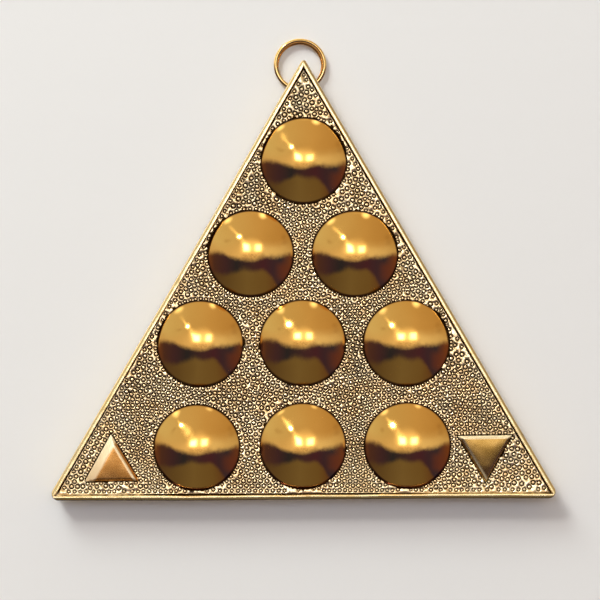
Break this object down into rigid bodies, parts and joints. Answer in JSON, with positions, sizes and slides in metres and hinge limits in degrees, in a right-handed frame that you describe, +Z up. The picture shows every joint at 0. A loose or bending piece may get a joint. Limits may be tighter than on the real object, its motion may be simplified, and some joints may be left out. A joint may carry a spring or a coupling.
{
  "type": "navagraha yantra wall plaque",
  "caption": "Triangular brass-faced wall plaque with mirror-polished domes on a ring-punched ground, beaded rim, raised corner triangles and a loose hanging ring.",
  "frame": {"origin": "on the flat back of the felt, on the line down from the apex, a third of the way up from the lower edge to the apex", "axes": "+X to the right as the face is looked at, +Y out of the back towards the wall, +Z up towards the apex and ring"},
  "size_m": [0.2272, 0.0204, 0.2091],
  "materials": {
    "dome_brass": "mirror polished",
    "antique_brass": "ring-punched, with dark patina in the marks",
    "rim_brass": "polished by hand",
    "satin_brass": "satin",
    "ring_brass": "drawn wire, polished",
    "strap_brass": "satin",
    "nail_brass": "satin",
    "board_wood": "bare, sanded",
    "felt": "pressed felt"
  },
  "bodies": {
    "plaque": {"back_board": "board_wood", "face_sheet": "antique_brass", "rim_bottom": "rim_brass", "rim_left": "rim_brass", "rim_right": "rim_brass", "dome_1": "dome_brass", "dome_2": "dome_brass", "dome_3": "dome_brass", "dome_4": "dome_brass", "dome_5": "dome_brass", "dome_6": "dome_brass", "dome_7": "dome_brass", "dome_8": "dome_brass", "dome_9": "dome_brass", "triangle_up": "satin_brass", "triangle_down": "satin_brass", "rim_tack_1": "nail_brass", "rim_tack_2": "nail_brass", "rim_tack_3": "nail_brass", "rim_tack_4": "nail_brass", "rim_tack_5": "nail_brass", "rim_tack_6": "nail_brass", "rim_tack_7": "nail_brass", "rim_tack_8": "nail_brass", "rim_tack_9": "nail_brass", "hanger_strap": "strap_brass", "strap_nail_1": "nail_brass", "strap_nail_2": "nail_brass", "back_felt": "felt"},
    "ring": {"hanging_ring": "ring_brass"}
  },
  "joints": [
    {"name": "ring_swing", "type": "hinge", "parent": "plaque", "child": "ring", "pos_m": [-0.0016, 0.00105, 0.11962], "axis": [-1, 0, 0], "range_deg": [-7, 180]}
  ]
}
